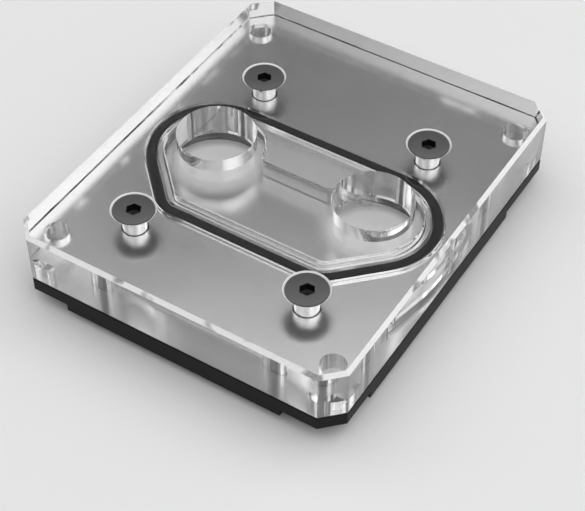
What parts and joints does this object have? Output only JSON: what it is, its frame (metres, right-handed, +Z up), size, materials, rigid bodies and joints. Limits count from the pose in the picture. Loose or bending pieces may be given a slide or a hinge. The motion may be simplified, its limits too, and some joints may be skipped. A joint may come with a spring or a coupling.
{
  "type": "chipset water block",
  "caption": "Liquid-cooling block: a clear cover with side-by-side ports and a seal ring, screwed to a metal cold plate.",
  "frame": {"origin": "centre of the block's outline, on the underside of the contact pad", "axes": "+X across the block through both ports, +Y along its long side away from the screw pair that stands further from the ports, +Z up out of the ports"},
  "size_m": [0.0522, 0.0628, 0.0129],
  "materials": {
    "clear_acrylic": "polished clear acrylic, bright machined faces",
    "plated_copper": "satin nickel plating, dark on the upright edges",
    "seal_rubber": "matt black",
    "screw_steel": "dark grey coated steel"
  },
  "bodies": {
    "root": {"cover": "clear_acrylic", "cold_plate": "plated_copper", "seal_ring": "seal_rubber", "cover_screws": "screw_steel"}
  },
  "joints": []
}
